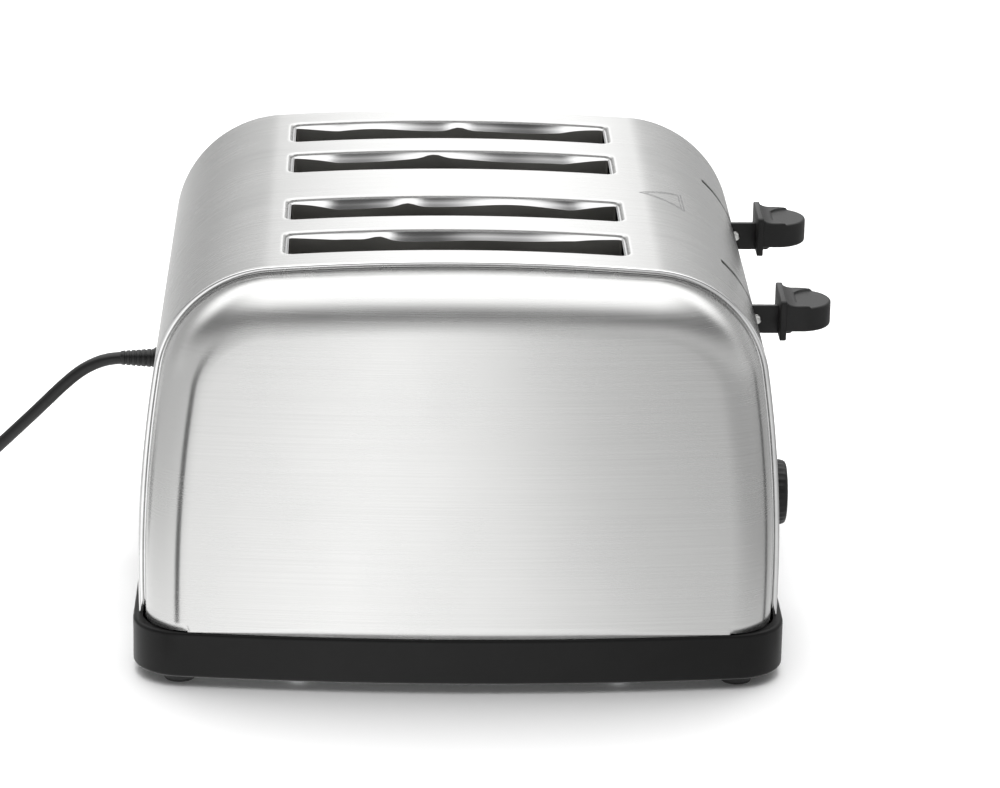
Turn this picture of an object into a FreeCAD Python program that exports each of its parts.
import FreeCAD, Part
import math
import os
import re
import Sketcher
from FreeCAD import Placement, Rotation, Vector

# A four-slot pop-up toaster: a bright steel wrapper bent over an inverted U, two dished side
# panels, a black moulded base, and inside it two independent toasting units side by side.
# Millimetres. +X points to the levers, the toast slots run along X, +Z is up and z = 0 is the
# surface that the feet stand on. Each sub-part is drawn about the middle of the body, and its
# Placement then moves it so that the middle of the toaster's whole outline is the origin.

DIMENSIONS = (
    # toast slots
    ("slot_length", 146.0, "length of a toast slot"),
    ("slot_width", 30.5, "width of a toast slot"),
    ("slot_corner", 4.0, "corner radius of a toast slot"),
    ("slot_pitch", 50.2, "between the middles of the two slots of one unit"),
    ("unit_pitch", 123.0, "between the middles of the two units"),
    ("seam_margin", 31.4, "from an outer slot's middle to the seam"),
    ("control_bay", 67.5, "from the slots' end to the widest part of the lever wall"),
    ("cord_bay", 62.5, "from the slots' other end to the widest part of the cord wall"),
    # the bent steel wrapper
    ("foot_height", 4.2, "standing height of the rubber feet"),
    ("base_height", 20.8, "height of the black base"),
    ("body_height", 159.6, "from the base to the top of the crown"),
    ("waist_rise", 17.2, "from the base to where the end walls are upright"),
    ("side_radius", 599.0, "radius of the end walls, which lean in"),
    ("corner_radius", 53.6, "radius of the shoulders"),
    ("crown_radius", 1102.0, "radius of the crown"),
    ("steel", 0.9, "thickness of the outer sheet steel"),
    ("collar_sheet", 1.2, "sheet thickness of a slot's lining"),
    ("collar_depth", 14.0, "depth of a slot's lining"),
    # side panels and seams
    ("bead_width", 2.4, "width of the polished seam bead"),
    ("bead_depth", 1.8, "how far the bead stands out of the seam"),
    ("bead_round", 0.8, "rounding of the bead's edges"),
    ("seam_gap", 0.6, "shadow gap between bead and panel"),
    ("panel_depth", 30.8, "how far a side panel's middle stands out of the seam"),
    ("panel_radius", 1000.0, "radius of a side panel's face in plan"),
    ("roll_radius", 21.0, "radius of the roll round a side panel's edge"),
    # base
    ("base_overhang", 2.4, "how far the base stands out past the wrapper's widest part"),
    ("base_lip", 0.6, "how far the base stands out past a side panel's middle"),
    ("base_corner", 22.0, "corner radius of the base in plan"),
    ("base_wall", 4.2, "wall thickness of the base"),
    ("flange_sheet", 2.0, "thickness of the base's inner flange"),
    ("base_round", 1.6, "rounding of the base's outer edges"),
    ("flange_width", 18.0, "width of the base's inner flange"),
    ("foot_radius", 6.5, "radius of a foot"),
    ("foot_inset", 20.4, "from the base's end to a foot's middle"),
    ("foot_setback", 18.9, "from the base's face to a foot's middle"),
    ("plate", 1.0, "thickness of the bottom plate and the chassis plates"),
    ("vent_pitch", 11.0, "between the bottom plate's vents"),
    ("vent_width", 4.0, "width of a vent"),
    ("screw_radius", 1.5, "shank radius of a bottom screw"),
    ("screw_head", 1.6, "height of a bottom screw's head"),
    # crumb trays
    ("tray_width", 90.0, "width of a crumb tray"),
    ("tray_height", 10.0, "height of a crumb tray"),
    ("tray_sheet", 0.8, "sheet thickness of a crumb tray"),
    ("tray_gap", 0.5, "clearance round a crumb tray"),
    # chassis and heaters
    ("cavity_gap", 5.0, "from a slot's end to the chassis end plate"),
    ("chassis_drop", 18.6, "from the crown to the top of the chassis"),
    ("leg_half", 12.0, "half the width of the chassis's middle leg"),
    ("shield_gap", 23.3, "from a slot's middle to a heat shield"),
    ("shield_sheet", 0.8, "sheet thickness of a heat shield"),
    ("card_gap", 18.5, "from a slot's middle to the heater card outside it"),
    ("card_sheet", 0.8, "thickness of a mica heater card"),
    ("card_floor", 36.0, "height of the heater cards' lower edge"),
    ("card_drop", 26.6, "from the crown to the heater cards' upper edge"),
    ("ribbon_sheet", 0.3, "thickness of the heating ribbon"),
    ("ribbon_width", 1.8, "width of the heating ribbon"),
    ("ribbon_pitch", 10.0, "between the ribbon's turns"),
    ("guard_gap", 13.6, "from a slot's middle to its guard wires"),
    ("guard_wire", 1.6, "diameter of a guard wire"),
    ("guard_pitch", 21.0, "between upright guard wires"),
    # bread carriage
    ("rack_low", 42.0, "height of the bread rack's top when it is down"),
    ("rack_height", 8.0, "height of a bread rack's blade"),
    ("rack_sheet", 1.2, "thickness of a bread rack's blade"),
    ("rack_gap", 1.2, "clearance of a bread rack's blade in its slit"),
    ("rack_tooth", 20.0, "length of a bread rack's cross teeth"),
    ("lever_lift", 12.0, "how far the lever lifts above its rest"),
    ("knob_dial_gap", 3.9, "from the pressed lever's knob to the dial below it"),
    ("sled_setback", 20.0, "from the chassis end plate to the sled"),
    ("sled_sheet", 1.2, "sheet thickness of the sled"),
    ("sled_half", 31.0, "half the width of the sled's foot"),
    ("rod_radius", 2.5, "radius of the guide rod"),
    ("rod_offset", 10.0, "from the unit's middle to the guide rod, and to the spring"),
    ("rod_setback", 10.0, "from the sled to the guide rod"),
    ("rod_fit", 0.15, "running clearance round the guide rod"),
    ("spring_radius", 3.2, "middle radius of the carriage spring"),
    ("spring_wire", 0.8, "wire diameter of the carriage spring"),
    # lever
    ("arm_drop", 42.9, "from the crown to the middle of the lever arm"),
    ("arm_height", 12.6, "height of the lever arm"),
    ("arm_sheet", 2.4, "thickness of the lever arm"),
    ("tongue_sheet", 1.0, "thickness of the steel tongue beside the arm"),
    ("slit_gap", 1.1, "clearance between the lever and its slit"),
    ("slit_head", 20.0, "length of the slit above the resting lever"),
    ("knob_clear", 0.8, "from the widest wall to the back of the knob"),
    ("knob_reach", 23.0, "length of the knob along X"),
    ("knob_flange", 2.8, "thickness of the knob's flange"),
    ("knob_width", 29.0, "width of the knob's flange"),
    ("knob_rise", 3.5, "from the arm's middle up to the grip's middle"),
    ("knob_socket", 7.0, "how deep the arm sits in the knob"),
    ("arm_reach", 14.3, "from the back of the knob to the arm's inner end"),
    ("rivet_reach", 9.3, "from the back of the knob to the rivet"),
    ("rivet_radius", 1.5, "radius of the rivet's shank"),
    ("rivet_head", 0.6, "height of the rivet's heads"),
    ("grip_height", 10.8, "height of the knob's grip"),
    ("flange_rise", 3.2, "how far the flange stands above the grip"),
    ("flange_drop", 4.2, "how far the flange hangs below the grip"),
    # controls
    ("dial_rise", 35.7, "from the base to the middle of the dial"),
    ("dial_radius", 14.8, "radius of the dial"),
    ("dial_depth", 7.0, "length of the dial's cap"),
    ("dial_clear", 0.4, "from the widest wall to the back of the dial"),
    ("stem_radius", 3.0, "radius of the dial's stem"),
    ("board_setback", 21.0, "from the widest wall to the face of the control board"),
    ("board_sheet", 1.6, "thickness of the control board"),
    ("pot_depth", 9.0, "depth of the dial's potentiometer"),
    ("switch_depth", 3.3, "depth of a push switch"),
    ("button_offset", 27.0, "from the unit's middle to the push buttons"),
    ("button_pitch", 16.0, "between push buttons"),
    ("button_width", 13.0, "width of a push button"),
    ("button_height", 8.0, "height of a push button"),
    ("button_corner", 2.0, "corner radius of a push button"),
    ("button_proud", 2.3, "how far a push button stands out of the wall"),
    ("button_travel", 2.0, "travel of a push button"),
    ("button_gap", 0.3, "clearance round a push button"),
    # mains lead
    ("cord_height", 100.4, "height of the lead where it leaves the wall"),
    ("cord_diameter", 5.6, "diameter of the lead"),
    ("gland_neck", 4.4, "radius of the strain relief where it passes the wall"),
    ("gland_reach", 7.0, "how far the tapered strain relief stands out of the wall"),
    ("gland_depth", 16.0, "how far the strain relief reaches in behind the wall"),
    ("coil_radius", 33.0, "middle radius of the wound-up lead"),
    ("plug_radius", 18.0, "radius of the plug's disc"),
    ("plug_height", 17.0, "height of the plug's disc"),
    ("plug_boot", 26.0, "length of the plug's own strain relief"),
    ("pin_radius", 2.4, "radius of a plug pin"),
    ("pin_length", 19.0, "length of a plug pin"),
    ("pin_pitch", 19.0, "between the plug's pins"),
)

doc = FreeCAD.newDocument("PopUpToaster")
sheet = doc.addObject("Spreadsheet::Sheet", "Dims")
size = {}
for row, (alias, number, note) in enumerate(DIMENSIONS, start=1):
    sheet.set("A%d" % row, alias.replace("_", " "))
    sheet.set("B%d" % row, str(number))
    sheet.set("C%d" % row, note)
    sheet.setAlias("B%d" % row, alias)
    size[alias] = number
doc.recompute()

# Sizes that follow from the driving ones, as formulas in their names.
DERIVED = {
    "half_width": "(slot_length + control_bay + cord_bay) / 2",
    "slot_middle": "(cord_bay - control_bay) / 2",
    "half_seam": "unit_pitch / 2 + slot_pitch / 2 + seam_margin",
    "base_top": "foot_height + base_height",
    "top": "foot_height + base_height + body_height",
    "waist": "foot_height + base_height + waist_rise",
    "panel_inset": "bead_width + seam_gap",
    "panel_inner": "panel_inset + steel",
    "bead_inner": "bead_width",
    "bottom_inset": "base_wall + 0.4",
    "band_outer": "steel + 0.05",
    "band_inner": "panel_inset + 6",
    "collar_inset": "steel + 0.4",
    "half_base": "half_width + base_overhang",
    "half_depth": "half_seam + panel_depth + base_lip",
    "plate_floor": "foot_height + flange_sheet",
    "plate_top": "plate_floor + plate",
    "arm_middle": "top - arm_drop",
    "knob_back": "half_width + knob_clear",
    "dial_middle": "base_top + dial_rise",
    "grip_low": "arm_middle + knob_rise - grip_height / 2",
    "travel": "grip_low - flange_drop - dial_middle - dial_radius - knob_dial_gap",
    "end_plate": "slot_length / 2 + cavity_gap",
    "chassis_half": "unit_pitch / 2 + slot_pitch / 2 + shield_gap + 4",
    "chassis_top": "top - chassis_drop",
    "card_top": "top - card_drop",
    "tray_floor": "plate_top + tray_gap",
    "tray_top": "tray_floor + tray_height",
    "chassis_floor": "tray_top + 3",
    "spine_top": "arm_middle + 5",
    "rod_top": "spine_top + lever_lift + 2",
    "rack_top": "rack_low + travel",
    "sled_back": "slot_middle + end_plate + plate + sled_setback",
    "sled_front": "sled_back + sled_sheet",
    "sled_foot": "rack_top - rack_height - 2",
    "rod_line": "sled_front + rod_setback",
    "board_face": "half_width - board_setback",
    "centre_shift": "-(knob_back + knob_reach - half_base) / 2",
}
derived = doc.addObject("App::VarSet", "Derived")
WORD = re.compile(r"[A-Za-z_]+")


def formula(text):
    """Spell a formula of size names as the document's expressions need it."""
    def spell(match):
        word = match.group(0)
        if word in DERIVED:
            return "Derived." + word
        return "Dims." + word if word in size else word
    return WORD.sub(spell, text)


for name, text in DERIVED.items():
    derived.addProperty("App::PropertyFloat", name)
    derived.setExpression(name, formula(text))
doc.recompute()
for name in DERIVED:
    size[name] = getattr(derived, name)

nodes = []


def node(thing, label, turn=0):
    """Name a finished sub-part and put it in its place, turned about the body's upright middle."""
    thing.Label = label
    thing.Placement = Placement(Vector(), Rotation(Vector(0, 0, 1), turn))
    thing.setExpression("Placement.Base.x", formula("centre_shift"))
    nodes.append(thing)
    return thing


# ---- Part primitives whose sizes are bound to the sheet

def box(name, x, y, z):
    """A block between two formulas along each axis."""
    solid = doc.addObject("Part::Box", name)
    for side, axis, (low, high) in (("Length", "x", x), ("Width", "y", y), ("Height", "z", z)):
        solid.setExpression(side, formula("(%s) - (%s)" % (high, low)))
        solid.setExpression("Placement.Base." + axis, formula(low))
    return solid


AIM = {"x": Rotation(Vector(0, 1, 0), 90), "y": Rotation(Vector(1, 0, 0), -90), "z": Rotation()}


def rod(name, radius, foot, length, aim="z"):
    """A round bar from its foot, three formulas, along one axis."""
    solid = doc.addObject("Part::Cylinder", name)
    solid.Placement = Placement(Vector(), AIM[aim])
    solid.setExpression("Radius", formula(radius))
    solid.setExpression("Height", formula(length))
    for axis, text in zip("xyz", foot):
        solid.setExpression("Placement.Base." + axis, formula(text))
    return solid


def fuse(name, pieces):
    solid = doc.addObject("Part::MultiFuse", name)
    solid.Shapes = pieces
    return solid


def group(name, pieces):
    """Separate solids that share one sub-part."""
    bundle = doc.addObject("Part::Compound", name)
    bundle.Links = pieces
    return bundle


def made(name, solids):
    """A feature that holds solids which are already drawn in their place."""
    feature = doc.addObject("Part::Feature", name)
    feature.Shape = Part.makeCompound(solids)
    return feature


def cut(name, base, tools):
    solid = doc.addObject("Part::Cut", name)
    solid.Base = base
    solid.Tool = tools[0] if len(tools) == 1 else fuse(name + "Tools", tools)
    return solid


# ---- Sketches whose sizes are bound to the sheet

def sketch_on(body, role, name, lift="0"):
    """A sketch on one of the body's own origin planes, lifted off it by a formula."""
    sketch = body.newObject("Sketcher::SketchObject", name)
    plane = next(feature for feature in body.Origin.OriginFeatures if feature.Role == role)
    sketch.AttachmentSupport = [(plane, "")]
    sketch.MapMode = "FlatFace"
    sketch.setExpression("AttachmentOffset.Base.z", formula(lift))
    return sketch


def line(x1, y1, x2, y2):
    return Part.LineSegment(Vector(x1, y1, 0), Vector(x2, y2, 0))


def arc(x, y, radius, start, end):
    return Part.ArcOfCircle(Part.Circle(Vector(x, y, 0), Vector(0, 0, 1), radius), start, end)


def outline(sketch, pieces, smooth=()):
    """Add a closed run of lines and arcs; the joints named in smooth are tangent."""
    first = sketch.GeometryCount
    for piece in pieces:
        sketch.addGeometry(piece)
    count = len(pieces)
    for index in range(count):
        kind = "Tangent" if index in smooth else "Coincident"
        here, after = first + index, first + (index + 1) % count
        sketch.addConstraint(Sketcher.Constraint(kind, here, 2, after, 1))
    return first


def hold(sketch, kind, index, text, point=3):
    """Bind a radius, or a point's distance from the sketch's origin, to a formula."""
    if kind == "Radius":
        rule = Sketcher.Constraint(kind, index, sketch.Geometry[index].Radius)
    else:
        where = sketch.getPoint(index, point)
        now = where.x if kind == "DistanceX" else where.y
        rule = Sketcher.Constraint(kind, -1, 1, index, point, now)
    number = sketch.addConstraint(rule)
    sketch.setExpression("Constraints[%d]" % number, formula(text))


reading = doc.addObject("App::VarSet", "Reading")
reading.addProperty("App::PropertyFloat", "now")


def number(text):
    """What a formula comes to now, for a sketch's first geometry."""
    reading.setExpression("now", formula(text))
    reading.recompute()
    return reading.now


def rectangle(sketch, x, y, corner=""):
    """A rectangle between two formulas each way, its corners rounded where a radius is named."""
    left, right, low, high = (number(text) for text in (*x, *y))
    turn = number(corner) if corner else 0.0
    quarter = math.pi / 2
    sides = [line(left + turn, low, right - turn, low), line(right, low + turn, right, high - turn),
             line(right - turn, high, left + turn, high), line(left, high - turn, left, low + turn)]
    middles = [(right - turn, low + turn), (right - turn, high - turn),
               (left + turn, high - turn), (left + turn, low + turn)]
    pieces = []
    for index, side in enumerate(sides):
        pieces.append(side)
        if corner:
            start = (index - 1) * quarter
            pieces.append(arc(*middles[index], turn, start, start + quarter))
    first = outline(sketch, pieces, smooth=range(len(pieces)) if corner else ())
    step = 2 if corner else 1
    for index, kind in enumerate(("Horizontal", "Vertical", "Horizontal", "Vertical")):
        sketch.addConstraint(Sketcher.Constraint(kind, first + step * index))
    hold(sketch, "DistanceY", first, y[0], 1)
    hold(sketch, "DistanceX", first + step, x[1], 1)
    hold(sketch, "DistanceY", first + 2 * step, y[1], 1)
    hold(sketch, "DistanceX", first + 3 * step, x[0], 1)
    if corner:
        for index in range(1, 8, 2):
            hold(sketch, "Radius", first + index, corner)
    return first


def circle(sketch, x, y, radius):
    index = sketch.addGeometry(Part.Circle(Vector(number(x), number(y), 0), Vector(0, 0, 1), number(radius)))
    hold(sketch, "Radius", index, radius)
    hold(sketch, "DistanceX", index, x)
    hold(sketch, "DistanceY", index, y)


def arch(body, name, inset, lift="0"):
    """The inverted U of the toaster's ends, standing on the base, inset all round by one size.

    Each end wall rises upright to the waist, then leans in on a large arc; a shoulder arc joins
    it to the shallow arc of the crown. The shoulder's middle lies where the inset arcs around it
    are both tangent, so it is found from the two distances between the arcs' middles.
    """
    in_by = size[inset] if inset else 0.0
    side, crown = size["side_radius"], size["crown_radius"]
    corner = size["corner_radius"]
    side_x, side_z = size["half_width"] - side, size["waist"]
    crown_z = size["top"] - crown
    span = math.hypot(side_x, side_z - crown_z)
    along = ((crown - corner) ** 2 - (side - corner) ** 2 + span ** 2) / (2 * span)
    across = math.sqrt((crown - corner) ** 2 - along ** 2)
    unit_x, unit_z = side_x / span, (side_z - crown_z) / span
    corner_x = unit_x * along + unit_z * across
    corner_z = crown_z + unit_z * along - unit_x * across
    low = math.atan2(corner_z - side_z, corner_x - side_x)
    high = math.atan2(corner_z - crown_z, corner_x)
    half = size["half_width"] - in_by
    floor = size["base_top"]
    sketch = sketch_on(body, "XZ_Plane", name, lift)
    pieces = [
        line(half, floor, half, side_z),
        arc(side_x, side_z, side - in_by, 0, low),
        arc(corner_x, corner_z, corner - in_by, low, high),
        arc(0, crown_z, crown - in_by, high, math.pi - high),
        arc(-corner_x, corner_z, corner - in_by, math.pi - high, math.pi - low),
        arc(-side_x, side_z, side - in_by, math.pi - low, math.pi),
        line(-half, side_z, -half, floor),
        line(-half, floor, half, floor),
    ]
    outline(sketch, pieces, smooth=(0, 1, 2, 3, 4, 5))
    less = " - " + inset if inset else ""
    sketch.addConstraint(Sketcher.Constraint("Vertical", 0))
    sketch.addConstraint(Sketcher.Constraint("Vertical", 6))
    sketch.addConstraint(Sketcher.Constraint("Horizontal", 7))
    hold(sketch, "DistanceX", 0, "half_width" + less, 1)
    hold(sketch, "DistanceX", 6, "-(half_width" + less + ")", 1)
    hold(sketch, "DistanceY", 7, "base_top", 1)
    for index in (1, 5):
        hold(sketch, "Radius", index, "side_radius" + less)
        hold(sketch, "DistanceY", index, "waist")
    for index in (2, 4):
        hold(sketch, "Radius", index, "corner_radius" + less)
    hold(sketch, "Radius", 3, "crown_radius" + less)
    hold(sketch, "DistanceY", 3, "top - crown_radius")
    sketch.addConstraint(Sketcher.Constraint("PointOnObject", 3, 3, -2))
    return sketch


def pad(body, sketch, length, symmetric=False, back=False):
    feature = body.newObject("PartDesign::Pad", sketch.Name + "Pad")
    feature.Profile = sketch
    feature.SideType = "Symmetric" if symmetric else "One side"
    feature.Reversed = back
    feature.setExpression("Length", formula(length))
    return feature


def pocket(body, sketch, length=None, back=False):
    """Cut a sketch out of the body, to a depth or, with none given, through everything both ways."""
    feature = body.newObject("PartDesign::Pocket", sketch.Name + "Pocket")
    feature.Profile = sketch
    feature.Reversed = back
    if length:
        feature.setExpression("Length", formula(length))
    else:
        feature.Type = "ThroughAll"
        feature.SideType = "Symmetric"
    return feature


def soften(body, feature, radius, choose, kind="Fillet"):
    """Round or bevel the edges of a feature that a test picks out."""
    doc.recompute()
    names = ["Edge%d" % (number + 1) for number, edge in enumerate(feature.Shape.Edges) if choose(edge)]
    rounded = body.newObject("PartDesign::" + kind, feature.Name + kind)
    rounded.Base = (feature, names)
    rounded.setExpression("Radius" if kind == "Fillet" else "Size", formula(radius))
    return rounded


def new_body(name):
    return doc.addObject("PartDesign::Body", name)


UNITS = {"near": -1, "far": 1}


def unit_y(side):
    """The middle of one toasting unit across the toaster, as a formula."""
    return "(%d) * unit_pitch / 2" % UNITS[side]


def wall_at(height):
    """How far the end walls stand from the middle at a height, as a formula."""
    return "(half_width - side_radius + sqrt(side_radius^2 - (%s - waist)^2))" % height


def slot_lines():
    """The middles of the four toast slots, near to far, as formulas with their units."""
    return [(side, "%s + (%d) * slot_pitch / 2" % (unit_y(side), half)) for side in UNITS for half in (-1, 1)]


BUTTONS = ("cancel", "defrost", "reheat")


def button_middle(side, step):
    """Where a push button stands on the lever wall: (y, z) as formulas."""
    return ("%s + (%d) * button_offset" % (unit_y(side), -UNITS[side]),
            "dial_middle + %d * button_pitch" % step)


# ---- Outer shells

def wrapper_shell():
    """One bent sheet: the end walls, shoulders and crown, with every opening cut in it."""
    body = new_body("Wrapper")
    pad(body, arch(body, "WrapperOuter", ""), "2 * half_seam", symmetric=True)
    pocket(body, arch(body, "WrapperInner", "steel"))
    slots = sketch_on(body, "XY_Plane", "SlotCuts")
    for side, y in slot_lines():
        rectangle(slots, ("slot_middle - slot_length / 2", "slot_middle + slot_length / 2"),
                  (y + " - slot_width / 2", y + " + slot_width / 2"), "slot_corner")
    pocket(body, slots)
    wall = sketch_on(body, "YZ_Plane", "LeverWallCuts", "sled_back")
    for side in UNITS:
        y = unit_y(side)
        rectangle(wall, (y + " - arm_sheet - slit_gap", y + " + tongue_sheet + slit_gap"),
                  ("arm_middle - arm_height / 2 - travel - slit_gap",
                   "arm_middle + arm_height / 2 + slit_head"))
        circle(wall, y, "dial_middle", "stem_radius + 0.5")
        for step in range(len(BUTTONS)):
            y, z = button_middle(side, step)
            rectangle(wall, (y + " - button_width / 2 - button_gap", y + " + button_width / 2 + button_gap"),
                      (z + " - button_height / 2 - button_gap", z + " + button_height / 2 + button_gap"),
                      "button_corner + button_gap")
    pocket(body, wall, "control_bay", back=True)
    inlet = sketch_on(body, "YZ_Plane", "CordCut", "-half_width - 1")
    circle(inlet, "0", "cord_height", "gland_neck + 0.2")
    pocket(body, inlet, "cord_bay / 2", back=True)
    node(body, "wrapper_shell")


def loaf(name, inset, depth, face_radius, roll):
    """The solid shape of a side panel: the arch stood out of the seam, bowed and rolled at its edge."""
    body = new_body(name)
    pad(body, arch(body, name + "Arch", inset, "half_seam"), depth)
    radius = number(face_radius)
    middle = radius - number("half_seam + " + depth)
    reach = size["half_width"] + 5
    swing = math.asin(reach / radius)
    edge = middle - radius * math.cos(swing)
    outer = -size["half_seam"] - size["panel_depth"] - 5
    face = sketch_on(body, "XY_Plane", name + "Face")
    outline(face, [arc(0, middle, radius, -math.pi / 2 - swing, -math.pi / 2 + swing),
                   line(reach, edge, reach, outer), line(reach, outer, -reach, outer),
                   line(-reach, outer, -reach, edge)])
    for index, kind in ((1, "Vertical"), (2, "Horizontal"), (3, "Vertical")):
        face.addConstraint(Sketcher.Constraint(kind, index))
    face.addConstraint(Sketcher.Constraint("PointOnObject", 0, 3, -2))
    hold(face, "Radius", 0, face_radius)
    hold(face, "DistanceY", 0, "%s - half_seam - (%s)" % (face_radius, depth))
    hold(face, "DistanceX", 1, "half_width + 5", 1)
    hold(face, "DistanceX", 3, "-half_width - 5", 1)
    hold(face, "DistanceY", 2, "-half_seam - panel_depth - 5", 1)
    bowed = pocket(body, face)

    def on_rim(edge_line):
        bounds = edge_line.BoundBox
        return bounds.YMax < -size["half_seam"] - 5 and bounds.ZMax > size["base_top"] + 1

    soften(body, bowed, roll, on_rim)
    return body


def side_panel(side):
    """A dished pressing, open at its back and below."""
    outer = loaf("Panel" + side, "panel_inset", "panel_depth", "panel_radius", "roll_radius")
    inner = loaf("PanelHollow" + side, "panel_inner", "panel_depth - steel", "panel_radius - steel",
                 "roll_radius - steel")
    node(cut("PanelShell" + side, outer, [inner]), "side_panel_" + side, 0 if side == "near" else 180)


def trim_ring(side):
    """The polished bead over the seam, with the flat band behind it that the panel's edge meets."""
    bead = new_body("Bead" + side)
    front = pad(bead, arch(bead, "BeadOuter" + side, "", "half_seam"), "bead_depth")
    inner = pocket(bead, arch(bead, "BeadInner" + side, "bead_inner"))

    def on_front(edge_line):
        bounds = edge_line.BoundBox
        outside = bounds.YMax < -size["half_seam"] - size["bead_depth"] / 2
        return outside and bounds.ZMax > size["base_top"] + 1

    soften(bead, inner, "bead_round", on_front)
    band = new_body("Band" + side)
    pad(band, arch(band, "BandOuter" + side, "band_outer", "half_seam - plate"), "plate")
    pocket(band, arch(band, "BandInner" + side, "band_inner"))
    node(fuse("Trim" + side, [bead, band]), "trim_ring_" + side, 0 if side == "near" else 180)


def slot_collar(number_from_near, y):
    """A rolled steel lining that hangs in a toast slot, its rim following the crown just below it."""
    name = "Collar%d" % number_from_near
    ring = new_body(name)
    outer = sketch_on(ring, "XY_Plane", name + "Outer", "top - collar_depth")
    rectangle(outer, ("slot_middle - slot_length / 2 + 0.1", "slot_middle + slot_length / 2 - 0.1"),
              (y + " - slot_width / 2 + 0.1", y + " + slot_width / 2 - 0.1"), "slot_corner - 0.1")
    pad(ring, outer, "collar_depth + 5")
    inner = sketch_on(ring, "XY_Plane", name + "Inner")
    rectangle(inner, ("slot_middle - slot_length / 2 + collar_sheet",
                      "slot_middle + slot_length / 2 - collar_sheet"),
              (y + " - slot_width / 2 + collar_sheet", y + " + slot_width / 2 - collar_sheet"),
              "slot_corner - collar_sheet")
    pocket(ring, inner)
    under = new_body(name + "Under")
    pad(under, arch(under, name + "Arch", "collar_inset"), "2 * half_seam", symmetric=True)
    trimmed = doc.addObject("Part::Common", name + "Trimmed")
    trimmed.Base, trimmed.Tool = ring, under
    node(trimmed, "slot_collar_%d" % number_from_near)


def plan(body, name, inset, lift):
    """The base seen from above: straight ends, bowed faces and round corners, inset by one size."""
    in_by = size[inset] if inset else 0.0
    half, depth = size["half_base"] - in_by, size["half_depth"] - in_by
    corner, radius = size["base_corner"] - in_by, size["panel_radius"] - in_by
    middle_x = half - corner
    middle_y = depth - radius + math.sqrt((radius - corner) ** 2 - middle_x ** 2)
    face_y = depth - radius
    swing = math.atan2(middle_y - face_y, middle_x)
    turn = math.pi
    sketch = sketch_on(body, "XY_Plane", name, lift)
    outline(sketch, [
        line(half, -middle_y, half, middle_y),
        arc(middle_x, middle_y, corner, 0, swing),
        arc(0, face_y, radius, swing, turn - swing),
        arc(-middle_x, middle_y, corner, turn - swing, turn),
        line(-half, middle_y, -half, -middle_y),
        arc(-middle_x, -middle_y, corner, turn, turn + swing),
        arc(0, -face_y, radius, turn + swing, 2 * turn - swing),
        arc(middle_x, -middle_y, corner, 2 * turn - swing, 2 * turn),
    ], smooth=range(8))
    less = " - " + inset if inset else ""
    for index, sign in ((0, ""), (4, "-")):
        sketch.addConstraint(Sketcher.Constraint("Vertical", index))
        hold(sketch, "DistanceX", index, "%s(half_base%s)" % (sign, less), 1)
    for index in (1, 3, 5, 7):
        hold(sketch, "Radius", index, "base_corner" + less)
    for index, sign in ((2, ""), (6, "-")):
        hold(sketch, "Radius", index, "panel_radius" + less)
        hold(sketch, "DistanceY", index, "%s(half_depth - panel_radius)" % sign)
        sketch.addConstraint(Sketcher.Constraint("PointOnObject", index, 3, -2))
    return sketch


def screw_spots():
    """Where the six bottom screws stand on the base's flange, as pairs of formulas."""
    end = "half_base - base_wall - flange_width / 2"
    face = "half_depth - base_wall - flange_width / 2"
    spots = [(sign + "(" + end + ")", "0") for sign in ("", "-")]
    return spots + [("%s(half_width / 2)" % a, "%s(%s)" % (b, face)) for a in ("", "-") for b in ("", "-")]


def base_frame():
    """The black moulding under the shells: a wall all round with a flange inside its lower edge."""
    body = new_body("Base")
    block = pad(body, plan(body, "BaseOuter", "", "foot_height"), "base_height")

    def level(edge_line):
        return edge_line.BoundBox.ZLength < 0.01

    soften(body, block, "base_round", level)
    pocket(body, plan(body, "BaseWell", "base_wall", "base_top"), "base_height - flange_sheet")
    mouth = sketch_on(body, "XY_Plane", "BaseMouth", "foot_height")
    rectangle(mouth, ("-(half_base - base_wall - flange_width)", "half_base - base_wall - flange_width"),
              ("-(half_depth - base_wall - flange_width)", "half_depth - base_wall - flange_width"))
    pocket(body, mouth)
    doors = sketch_on(body, "YZ_Plane", "TrayDoors", "-half_base - 1")
    for side in UNITS:
        y = unit_y(side)
        rectangle(doors, (y + " - tray_width / 2 - tray_gap", y + " + tray_width / 2 + tray_gap"),
                  ("tray_floor - tray_gap / 2", "tray_top + tray_gap"))
    pocket(body, doors, "base_wall + 2", back=True)
    holes = [rod("BaseHole%d" % n, "screw_radius + 0.05", (x, y, "0"), "base_top")
             for n, (x, y) in enumerate(screw_spots())]
    node(cut("BaseMoulding", body, holes), "base_frame")


def bottom_plate():
    """The vented steel plate on the base's flange that closes the toaster from below."""
    body = new_body("Bottom")
    pad(body, plan(body, "BottomPlan", "bottom_inset", "plate_floor"), "plate")
    vents = sketch_on(body, "XY_Plane", "Vents")
    for side in UNITS:
        for step in range(-3, 4):
            y = "%s + (%d) * vent_pitch" % (unit_y(side), step)
            rectangle(vents, ("slot_middle - slot_length / 3", "slot_middle + slot_length / 3"),
                      (y + " - vent_width / 2", y + " + vent_width / 2"), "vent_width / 2 - 0.05")
    pocket(body, vents)
    holes = [rod("PlateHole%d" % n, "screw_radius + 0.05", (x, y, "0"), "base_top")
             for n, (x, y) in enumerate(screw_spots())]
    node(cut("BottomPlate", body, holes), "bottom_plate")


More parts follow.
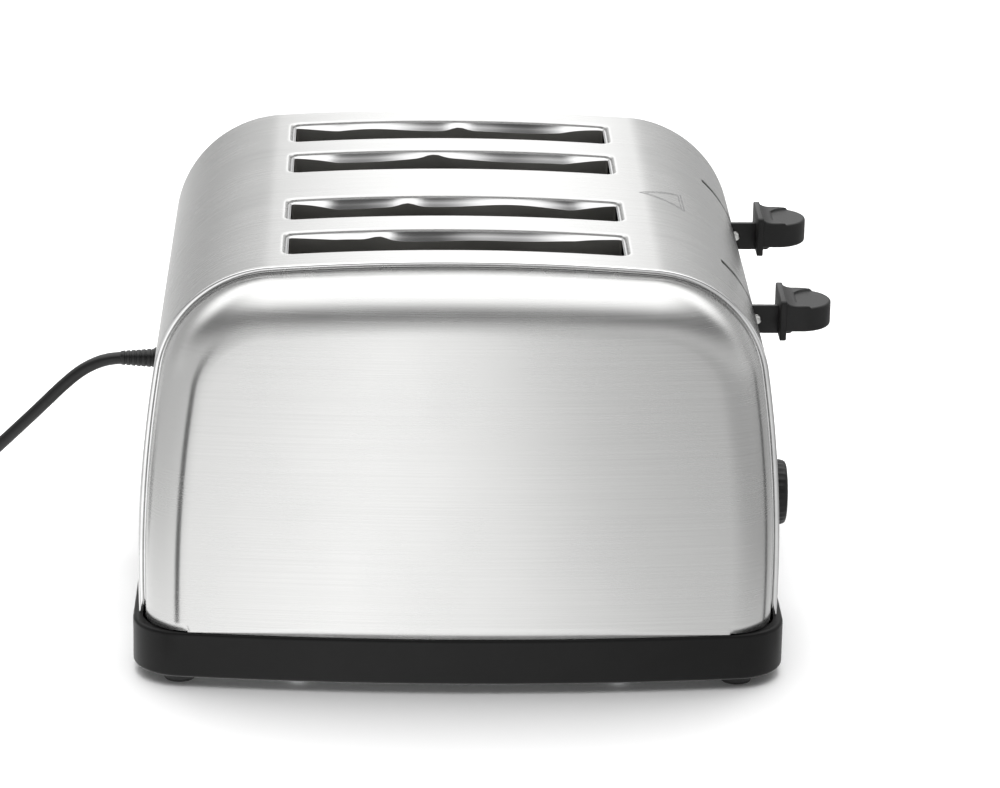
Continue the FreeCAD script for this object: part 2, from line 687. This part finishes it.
def bottom_screws():
    screws = []
    for n, (x, y) in enumerate(screw_spots()):
        head = rod("ScrewHead%d" % n, "2 * screw_radius", (x, y, "foot_height - screw_head"), "screw_head")
        shank = rod("ScrewShank%d" % n, "screw_radius", (x, y, "foot_height - screw_head"),
                    "screw_head + flange_sheet + plate + 3")
        screws.append(fuse("Screw%d" % n, [head, shank]))
    node(group("Screws", screws), "bottom_screws")


def feet():
    pads = []
    for n, (a, b) in enumerate((("", ""), ("", "-"), ("-", ""), ("-", "-"))):
        at = (a + "(half_base - foot_inset)", b + "(half_depth - foot_setback)", "0")
        pads.append(rod("Foot%d" % n, "foot_radius", at, "foot_height"))
    node(group("Feet", pads), "feet")


# ---- Chassis, heaters and guards

def rack_slits(name, x):
    """The upright slits that the four bread racks run in, cut through one chassis plate."""
    return [box("%s%d" % (name, n), x,
                (y + " - rack_sheet / 2 - rack_gap", y + " + rack_sheet / 2 + rack_gap"),
                ("rack_low - rack_height - 2", "rack_top + lever_lift + 2"))
            for n, (side, y) in enumerate(slot_lines())]


def end_plates():
    """The two chassis plates across the slots' ends; the lever-end one also carries the guide rods."""
    ends = {"cord": ("slot_middle - end_plate - plate", "slot_middle - end_plate"),
            "lever": ("slot_middle + end_plate", "slot_middle + end_plate + plate")}
    for name, x in ends.items():
        pieces = [box("Plate" + name, x, ("-chassis_half", "chassis_half"), ("chassis_floor", "chassis_top")),
                  box("Leg" + name, x, ("-leg_half", "leg_half"), ("plate_top", "chassis_floor"))]
        for sign in (-1, 1):
            y = ["(%d) * chassis_half" % sign, "(%d) * (unit_pitch / 2 + tray_width / 2 + 2)" % sign]
            pieces.append(box("Leg%s%d" % (name, sign + 1), x, y if sign < 0 else y[::-1],
                              ("plate_top", "chassis_floor")))
        cuts = rack_slits("Slit" + name, ("%s - 1" % x[0], "%s + 1" % x[1]))
        if name == "lever":
            for side in UNITS:
                y = unit_y(side)
                for tag, z in (("Upper", "rod_top"), ("Lower", "chassis_floor")):
                    pieces.append(box("Tab" + tag + side, (x[0], "rod_line + 6"), (y + " - 18", y + " + 18"),
                                      (z, z + " + plate")))
                seat = ("rod_line", y + " - rod_offset", "0")
                cuts.append(rod("RodSeat" + side, "rod_radius", seat, "top"))
        node(cut("EndPlate" + name, fuse("EndBlank" + name, pieces), cuts), "end_plate_" + name)


def guide_rod(side):
    bar = rod("Rod" + side, "rod_radius", ("rod_line", unit_y(side) + " - rod_offset", "chassis_floor"),
              "rod_top + plate + 2 - chassis_floor")
    node(group("RodSeated" + side, [bar]), "guide_rod_" + side)


BETWEEN = ("slot_middle - end_plate", "slot_middle + end_plate")


def heat_shields(side):
    sheets = []
    for sign in (-1, 1):
        y = "%s + (%d) * (slot_pitch / 2 + shield_gap)" % (unit_y(side), sign)
        sheets.append(box("Shield%s%d" % (side, sign + 1), BETWEEN,
                          (y + " - shield_sheet / 2", y + " + shield_sheet / 2"),
                          ("chassis_floor", "chassis_top")))
    node(group("Shields" + side, sheets), "heat_shields_" + side)


def card_lines(side):
    """The middles of a unit's three heater cards across the toaster, as formulas."""
    return ["%s + (%d) * (slot_pitch / 2 + card_gap)" % (unit_y(side), sign) for sign in (-1, 0, 1)]


def heater_cards(side):
    cards = [box("Card%s%d" % (side, n), BETWEEN, (y + " - card_sheet / 2", y + " + card_sheet / 2"),
                 ("card_floor", "card_top")) for n, y in enumerate(card_lines(side))]
    node(group("Cards" + side, cards), "heater_cards_" + side)


def ribbon(low_y, high_y):
    """One flat ribbon laid to and fro over a card: level runs joined at alternate ends."""
    left = size["slot_middle"] - size["slot_length"] / 2 + 4
    right = left + size["slot_length"] - 8
    width, pitch = size["ribbon_width"], size["ribbon_pitch"]
    low = size["card_floor"] + 8
    count = int((size["card_top"] - 8 - low) / pitch) + 1
    strips = []
    for run in range(count):
        z = low + run * pitch
        strips.append(Part.makeBox(right - left, high_y - low_y, width, Vector(left, low_y, z)))
        if run < count - 1:
            x = right - width if run % 2 == 0 else left
            strips.append(Part.makeBox(width, high_y - low_y, pitch + width, Vector(x, low_y, z)))
    return strips[0].multiFuse(strips[1:]).removeSplitter()


def heater_ribbons(side):
    """A ribbon on every card face that looks into a slot."""
    middle = UNITS[side] * size["unit_pitch"] / 2
    outer = size["slot_pitch"] / 2 + size["card_gap"]
    half, thick = size["card_sheet"] / 2, size["ribbon_sheet"]
    faces = ((-outer, 1), (0, -1), (0, 1), (outer, -1))
    solids = []
    for offset, way in faces:
        ends = sorted((middle + offset + way * half, middle + offset + way * (half + thick)))
        solids.append(ribbon(*ends))
    node(made("Ribbons" + side, solids), "heater_ribbons_" + side)


def bread_guards(side):
    """Wire guards either side of each slot: two level rails with upright wires between them."""
    frames = []
    for half in (-1, 1):
        for face in (-1, 1):
            y = "%s + (%d) * slot_pitch / 2 + (%d) * guard_gap" % (unit_y(side), half, face)
            tag = "%s%d%d" % (side, half + 1, face + 1)
            wires = [rod("Rail%s%s" % (tag, end), "guard_wire / 2", (BETWEEN[0], y, z), "2 * end_plate", "x")
                     for end, z in (("Low", "card_floor + 2"), ("High", "chassis_top - 2"))]
            for step in range(-3, 4):
                wires.append(rod("Wire%s%d" % (tag, step + 3), "guard_wire / 2",
                                 ("slot_middle + (%d) * guard_pitch" % step, y, "card_floor + 2"),
                                 "chassis_top - card_floor - 4"))
            frames.append(fuse("Guard" + tag, wires))
    node(group("Guards" + side, frames), "bread_guards_" + side)


# ---- Bread carriage: everything that goes up and down with one lever

def bread_racks(side):
    """Two blades with cross teeth, one under each slice."""
    racks = []
    for half in (-1, 1):
        y = "%s + (%d) * slot_pitch / 2" % (unit_y(side), half)
        tag = "%s%d" % (side, half + 1)
        pieces = [box("Blade" + tag, ("slot_middle - end_plate - plate - 4", "sled_back"),
                      (y + " - rack_sheet / 2", y + " + rack_sheet / 2"),
                      ("rack_top - rack_height", "rack_top"))]
        for step in range(8):
            x = "slot_middle + (%s) * slot_length / 8" % (step - 3.5)
            pieces.append(box("Tooth%s%d" % (tag, step), (x + " - rack_sheet / 2", x + " + rack_sheet / 2"),
                              (y + " - rack_tooth / 2", y + " + rack_tooth / 2"),
                              ("rack_top - rack_height / 2", "rack_top")))
        racks.append(fuse("Rack" + tag, pieces))
    node(group("Racks" + side, racks), "bread_racks_" + side)


def sled(side):
    """The folded steel slide: a foot for both racks, a spine, lugs on the guide rod and a tongue."""
    y = unit_y(side)
    x = ("sled_back", "sled_front")
    rod_y, spring_y = y + " - rod_offset", y + " + rod_offset"
    pieces = [
        box("SledFoot" + side, x, (y + " - sled_half", y + " + sled_half"), ("sled_foot", "sled_foot + 16")),
        box("SledSpine" + side, x, (y + " - rod_offset - 5", y + " + 5"), ("sled_foot", "spine_top")),
        box("SledLow" + side, ("sled_back", "rod_line + 5"), (rod_y + " - 5", rod_y + " + 5"),
            ("sled_foot", "sled_foot + sled_sheet")),
        box("SledHigh" + side, ("sled_back", "rod_line + 5"), (rod_y + " - 5", rod_y + " + 5"),
            ("arm_middle - 4", "arm_middle - 4 + sled_sheet")),
        box("SledHook" + side, ("sled_back", "rod_line + 4"), (spring_y + " - 5", spring_y + " + 5"),
            ("sled_foot", "sled_foot + sled_sheet")),
        box("SledTongue" + side, ("sled_back", "knob_back - rivet_reach + 4"), (y, y + " + tongue_sheet"),
            ("arm_middle - 4", "arm_middle + 4")),
    ]
    holes = [rod("SledBore" + side, "rod_radius + rod_fit", ("rod_line", rod_y, "0"), "top"),
             rod("RivetBore" + side, "rivet_radius", ("knob_back - rivet_reach", y + " - 5", "arm_middle"),
                 "10", "y")]
    node(cut("Sled" + side, fuse("SledBlank" + side, pieces), holes), "sled_" + side)


def lever_arm(side):
    """The black flat arm that leaves the slit, riveted to the sled's tongue."""
    y = unit_y(side)
    blank = box("Arm" + side, ("knob_back - arm_reach", "knob_back + knob_socket"), (y + " - arm_sheet", y),
                ("arm_middle - arm_height / 2", "arm_middle + arm_height / 2"))
    rounded = doc.addObject("Part::Fillet", "ArmRounded" + side)
    rounded.Base = blank
    doc.recompute()
    edges = [(n + 1, 2.0, 2.0) for n, edge in enumerate(blank.Shape.Edges)
             if edge.BoundBox.YLength > 1 and edge.BoundBox.XMax < size["knob_back"]]
    rounded.Edges = edges
    bore = rod("ArmBore" + side, "rivet_radius", ("knob_back - rivet_reach", y + " - 5", "arm_middle"),
               "10", "y")
    node(cut("ArmBored" + side, rounded, [bore]), "lever_arm_" + side)


def lever_rivet(side):
    y = unit_y(side)
    x = "knob_back - rivet_reach"
    pieces = [rod("RivetShank" + side, "rivet_radius", (x, y + " - arm_sheet - rivet_head / 2", "arm_middle"),
                  "arm_sheet + tongue_sheet + rivet_head", "y"),
              rod("RivetNear" + side, "1.5 * rivet_radius",
                  (x, y + " - arm_sheet - rivet_head", "arm_middle"), "rivet_head", "y"),
              rod("RivetFar" + side, "1.5 * rivet_radius", (x, y + " + tongue_sheet", "arm_middle"),
                  "rivet_head", "y")]
    node(fuse("Rivet" + side, pieces), "lever_rivet_" + side)


def lever_knob(side):
    """The moulded knob: an upright flange with a round-ended grip standing out of it."""
    body = new_body("Knob" + side)
    y = unit_y(side)
    middle = number(y)
    radius = number("knob_width / 2 - 0.6")
    back = size["knob_back"] + 0.5
    centre = number("knob_back + knob_reach - knob_width / 2 + 0.6")
    grip = sketch_on(body, "XY_Plane", "Grip" + side, "grip_low")
    outline(grip, [arc(centre, middle, radius, -math.pi / 2, math.pi / 2),
                   line(centre, middle + radius, back, middle + radius),
                   line(back, middle + radius, back, middle - radius),
                   line(back, middle - radius, centre, middle - radius)], smooth=(0, 3))
    for index, kind in ((1, "Horizontal"), (2, "Vertical"), (3, "Horizontal")):
        grip.addConstraint(Sketcher.Constraint(kind, index))
    hold(grip, "Radius", 0, "knob_width / 2 - 0.6")
    hold(grip, "DistanceX", 0, "knob_back + knob_reach - knob_width / 2 + 0.6")
    hold(grip, "DistanceY", 0, y)
    hold(grip, "DistanceX", 2, "knob_back + 0.5", 1)
    pad(body, grip, "grip_height")
    flange = sketch_on(body, "YZ_Plane", "Flange" + side, "knob_back")
    rectangle(flange, (y + " - knob_width / 2", y + " + knob_width / 2"),
              ("grip_low - flange_drop", "grip_low + grip_height + flange_rise"), "1.5")
    joined = pad(body, flange, "knob_flange")

    def on_grip(edge_line):
        bounds = edge_line.BoundBox
        return bounds.XMin > size["knob_back"] + size["knob_flange"] + 0.5 or (
            bounds.XLength > 5 and bounds.ZLength < 0.01)

    soften(body, joined, "1.2", on_grip)
    socket = box("Socket" + side, ("knob_back - 1", "knob_back + knob_socket"), (y + " - arm_sheet", y),
                 ("arm_middle - arm_height / 2", "arm_middle + arm_height / 2"))
    node(cut("KnobSocketed" + side, body, [socket]), "lever_knob_" + side)


def carriage_spring(side):
    """The close-wound spring that pulls the carriage up, from the sled's hook to the upper tab."""
    foot = number("sled_foot + sled_sheet + 0.1")
    height = number("rod_top - 0.1") - foot
    radius, wire = size["spring_radius"], size["spring_wire"] / 2
    turns = 12
    path = Part.Wire(Part.makeHelix((height - 2 * wire) / turns, height - 2 * wire, radius).Edges)
    ring = Part.Wire(Part.makeCircle(wire, Vector(radius, 0, 0), Vector(0, 1, 0)))
    coil = path.makePipeShell([ring], True, True)
    coil.translate(Vector(size["rod_line"], number(unit_y(side) + " + rod_offset"), foot + wire))
    node(made("Spring" + side, [coil]), "carriage_spring_" + side)


def electromagnet(side):
    """The holding magnet on the lower tab, just under the sled at the bottom of its travel."""
    y = unit_y(side)
    floor = "chassis_floor + plate"
    pieces = [box("Yoke" + side, ("sled_back - 6", "sled_back + 7"), (y + " + 1", y + " + 17"),
                  (floor, floor + " + 2")),
              rod("Winding" + side, "5.5", ("sled_back + 0.5", y + " + 9", floor + " + 1.5"),
                  "sled_foot - travel - 0.6 - (%s) - 1.5" % floor)]
    node(fuse("Magnet" + side, pieces), "electromagnet_" + side)


# ---- Controls on the lever wall

def control_board(side):
    """The board that stands behind the lever wall with the dial's potentiometer and three switches."""
    y, inward = unit_y(side), -UNITS[side]
    face, front = "board_face", "board_face + board_sheet"
    strip = ["%s + (%d) * (button_offset %s 9)" % (y, inward, sign) for sign in ("-", "+")]
    pieces = [box("Board" + side, (face, front), (y + " - 34", y + " + 34"),
                  ("plate_top", "dial_middle + 14")),
              box("BoardStrip" + side, (face, front), strip if inward > 0 else strip[::-1],
                  ("plate_top", "dial_middle + 2 * button_pitch + 7")),
              box("Potentiometer" + side, (face, front + " + pot_depth"), (y + " - 8", y + " + 8"),
                  ("dial_middle - 8", "dial_middle + 8"))]
    for step in range(len(BUTTONS)):
        middle, z = button_middle(side, step)
        pieces.append(box("Switch%s%d" % (side, step), (face, front + " + switch_depth"),
                          (middle + " - 3", middle + " + 3"), (z + " - 3", z + " + 3")))
    node(fuse("BoardFitted" + side, pieces), "control_board_" + side)


def dial(side):
    """The browning dial, turned on its lathe axis, with a pointer groove in its face."""
    body = new_body("Dial" + side)
    start = number("board_face + board_sheet + pot_depth + 0.2")
    back, front = number("half_width + dial_clear"), number("half_width + dial_clear + dial_depth")
    stem, rim = size["stem_radius"], size["dial_radius"]
    points = [(start, 0), (start, stem), (back, stem), (back, rim), (front, rim), (front, 0)]
    profile = sketch_on(body, "XZ_Plane", "DialProfile" + side)
    pairs = zip(points, points[1:] + points[:1])
    outline(profile, [line(*first, *second) for first, second in pairs])
    for index in range(6):
        profile.addConstraint(Sketcher.Constraint("Vertical" if index % 2 == 0 else "Horizontal", index))
    hold(profile, "DistanceX", 0, "board_face + board_sheet + pot_depth + 0.2", 1)
    hold(profile, "DistanceY", 0, "0", 1)
    hold(profile, "DistanceY", 1, "stem_radius", 1)
    hold(profile, "DistanceX", 2, "half_width + dial_clear", 1)
    hold(profile, "DistanceY", 3, "dial_radius", 1)
    hold(profile, "DistanceX", 4, "half_width + dial_clear + dial_depth", 1)
    turned = body.newObject("PartDesign::Revolution", "DialTurned" + side)
    turned.Profile = profile
    turned.ReferenceAxis = (profile, ["H_Axis"])
    turned.Angle = 360

    def face_edge(edge_line):
        bounds = edge_line.BoundBox
        return bounds.XMin > front - 0.01 and bounds.YLength > size["dial_radius"]

    soften(body, turned, "1.5", face_edge)
    pointer = sketch_on(body, "YZ_Plane", "Pointer" + side, "half_width + dial_clear + dial_depth")
    rectangle(pointer, ("-0.6", "0.6"), ("dial_radius / 2", "dial_radius - 2.5"))
    pocket(body, pointer, "0.6")
    node(body, "dial_" + side)
    body.setExpression("Placement.Base.y", formula(unit_y(side)))
    body.setExpression("Placement.Base.z", formula("dial_middle"))


def push_button(side, step):
    """A push button: a rounded cap that stands a little out of the wall, on the stem of its switch."""
    name = BUTTONS[step]
    body = new_body("Button" + name + side)
    y, z = button_middle(side, step)
    start = "board_face + board_sheet + switch_depth + button_travel + 0.3"
    cap = sketch_on(body, "YZ_Plane", "Cap" + name + side, start)
    rectangle(cap, (y + " - button_width / 2", y + " + button_width / 2"),
              (z + " - button_height / 2", z + " + button_height / 2"), "button_corner")
    block = pad(body, cap, "%s + button_proud - (%s)" % (wall_at(z), start))
    outer = number(wall_at(z) + " + button_proud")

    def face_edge(edge_line):
        return edge_line.BoundBox.XMin > outer - 0.01

    soften(body, block, "0.8", face_edge)
    node(body, "button_%s_%s" % (name, side))


def crumb_tray(side):
    """A shallow drawer under each unit; its front closes the window in the base."""
    y = unit_y(side)
    half = "tray_width / 2"
    front, end = "-half_base + 0.3", "slot_middle + end_plate - 2"
    outer = box("Tray" + side, (front, end), ("%s - %s" % (y, half), "%s + %s" % (y, half)),
                ("tray_floor", "tray_top"))
    inner = box("TrayHollow" + side, (front + " + 2 * tray_sheet", end + " - tray_sheet"),
                ("%s - %s + tray_sheet" % (y, half), "%s + %s - tray_sheet" % (y, half)),
                ("tray_floor + tray_sheet", "tray_top + 1"))
    node(cut("TrayFolded" + side, outer, [inner]), "crumb_tray_" + side)


# ---- Mains lead

def cord_gland():
    """The tapered strain relief that grips the lead in the cord wall."""
    body = new_body("Gland")
    wall = number(wall_at("cord_height"))
    inside, outside = -(wall - size["gland_depth"]), -(wall + size["gland_reach"])
    neck, tip = size["gland_neck"], size["cord_diameter"] / 2 + 0.7
    flange, foot = neck + 2, -(wall - size["steel"] - 0.8)
    rim = -(wall + 1.6)
    points = [(inside, 0), (inside, neck), (foot + 1.5, neck), (foot + 1.5, flange), (foot, flange),
              (foot, neck), (-(wall + 0.4), neck), (-(wall + 0.4), flange - 0.6), (rim, flange - 0.8),
              (rim - 0.4, neck),
              (outside, tip), (outside, 0)]
    turned = Part.Face(Part.makePolygon([Vector(x, 0, z) for x, z in points + points[:1]]))
    solid = turned.revolve(Vector(), Vector(1, 0, 0), 360)
    solid.translate(Vector(0, 0, size["cord_height"]))
    node(made("GlandTurned", [solid]), "cord_gland")


# The lead's route from the strain relief's tip down to the floor and to the coil, chosen by hand.
ROUTE = (
    (-142.3, 0.0, 100.4),
    (-154.0, 0.0, 100.8),
    (-165.4, 0.0, 97.0),
    (-175.1, 0.0, 89.8),
    (-190.5, 0.0, 74.1),
    (-219.3, 0.0, 46.3),
    (-243.9, 0.0, 20.0),
    (-262.9, 0.0, 9.0),
    (-284.9, 0.0, 2.8),
    (-300.0, 0.0, 2.8),
)
COIL_GRIP = 18.0


def cord():
    """The loose lead: straight runs joined by tangent arcs as wide as each pair of runs allows."""
    points = [Vector(*point) for point in ROUTE]
    radius = size["cord_diameter"] / 2
    edges, here = [], points[0]
    for before, at, after in zip(points, points[1:], points[2:]):
        coming, going = (at - before).normalize(), (after - at).normalize()
        turn = coming.getAngle(going)
        short = min((at - before).Length, (after - at).Length)
        cutback = 0.45 * short
        print("cord bend at x %.0f: turn %.0f deg, radius %.0f mm"
              % (at.x, math.degrees(turn), cutback / math.tan(turn / 2)))
        start, end = at - coming * cutback, at + going * cutback
        bisector = (going - coming).normalize()
        sweep_radius = cutback / math.tan(turn / 2)
        crown = at + bisector * (sweep_radius / math.cos(turn / 2) - sweep_radius)
        edges.append(Part.LineSegment(here, start).toShape())
        edges.append(Part.Arc(start, crown, end).toShape())
        here = end
    edges.append(Part.LineSegment(here, points[-1]).toShape())
    path = Part.Wire(edges)
    first = (points[1] - points[0]).normalize()
    ring = Part.Wire(Part.makeCircle(radius, points[0], first))
    tube = path.makePipeShell([ring], True, False)
    print("cord tube %.1f mm long, volume over section times length %.4f"
          % (path.Length, tube.Volume / (math.pi * radius ** 2 * path.Length)))
    node(made("Cord", [tube]), "cord")


def coil_middle():
    """The middle of the coil: the lead's last run is tangent to its outer turns."""
    outer = size["coil_radius"] + size["cord_diameter"] / 2
    return Vector(ROUTE[-1][0] - COIL_GRIP, ROUTE[-1][1] + outer, 0)


def cord_coil():
    """The put-away length as one closed ring, two turns wide and two high."""
    wide = size["cord_diameter"]
    blank = Part.makeCylinder(size["coil_radius"] + wide, 2 * wide).cut(
        Part.makeCylinder(size["coil_radius"] - wide, 2 * wide))
    ring = blank.makeFillet(wide / 2 - 0.1, [edge for edge in blank.Edges if edge.BoundBox.ZLength < 0.01])
    ring.translate(coil_middle())
    node(made("Coil", [ring]), "cord_coil")


def cord_tie():
    """The strap round the coil, on the side away from the toaster's middle line."""
    wide, strap = size["cord_diameter"], 0.8
    centre = coil_middle() + Vector(0, size["coil_radius"], 0)
    outer = Part.makeBox(6, 2 * wide + 2 * strap, 2 * wide + strap,
                         centre + Vector(-3, -wide - strap, 0))
    inner = Part.makeBox(8, 2 * wide, 2 * wide - strap, centre + Vector(-4, -wide, strap))
    node(made("Tie", [outer.cut(inner)]), "cord_tie")


def plug():
    """An angled two-pin plug lying on its back beside the coil, pins up."""
    wide = size["cord_diameter"]
    level = 1.5 * wide
    leave = coil_middle() + Vector(-size["coil_radius"] - wide / 2, 21, 0)
    disc_radius, height, boot = size["plug_radius"], size["plug_height"], size["plug_boot"]
    disc_middle = leave + Vector(0, boot + disc_radius - 2, 0)
    disc = Part.makeCylinder(disc_radius, height, disc_middle)
    disc = disc.makeFillet(2.5, [edge for edge in disc.Edges if edge.BoundBox.ZLength < 0.01])
    relief = Part.makeCone(wide / 2 + 0.6, level - 0.2, boot + 4,
                           leave + Vector(0, 0, level), Vector(0, 1, 0))
    node(made("PlugBody", [disc.fuse(relief).removeSplitter()]), "plug_body")
    pins = []
    for sign in (-1, 1):
        foot = disc_middle + Vector(sign * size["pin_pitch"] / 2, 0, height)
        pin = Part.makeCylinder(size["pin_radius"], size["pin_length"], foot)
        top = [edge for edge in pin.Edges if edge.BoundBox.ZMin > height + 1]
        pins.append(pin.makeFillet(size["pin_radius"] * 0.6, top))
    node(made("PlugPins", pins), "plug_pins")


wrapper_shell()
base_frame()
bottom_plate()
bottom_screws()
feet()
end_plates()
for index, (side, y) in enumerate(slot_lines(), start=1):
    slot_collar(index, y)
for side in UNITS:
    side_panel(side)
    trim_ring(side)
    guide_rod(side)
    heat_shields(side)
    heater_cards(side)
    heater_ribbons(side)
    bread_guards(side)
    bread_racks(side)
    sled(side)
    lever_arm(side)
    lever_rivet(side)
    lever_knob(side)
    carriage_spring(side)
    electromagnet(side)
    control_board(side)
    dial(side)
    for step in range(len(BUTTONS)):
        push_button(side, step)
    crumb_tray(side)
cord_gland()
cord()
cord_coil()
cord_tie()
plug()
doc.recompute()

faults = [thing.Name for thing in doc.Objects if "Invalid" in thing.State or "Error" in thing.State]
faults += [thing.Label for thing in nodes if thing.Shape.isNull() or not thing.Shape.isValid()]
if faults:
    raise RuntimeError("failed: " + ", ".join(faults))
os.makedirs("parts", exist_ok=True)
for thing in nodes:
    thing.Shape.exportStep("parts/%s.step" % thing.Label)
print(len(nodes), "sub-parts; lever travel %.1f mm, centre shift %.2f mm"
      % (size["travel"], size["centre_shift"]))
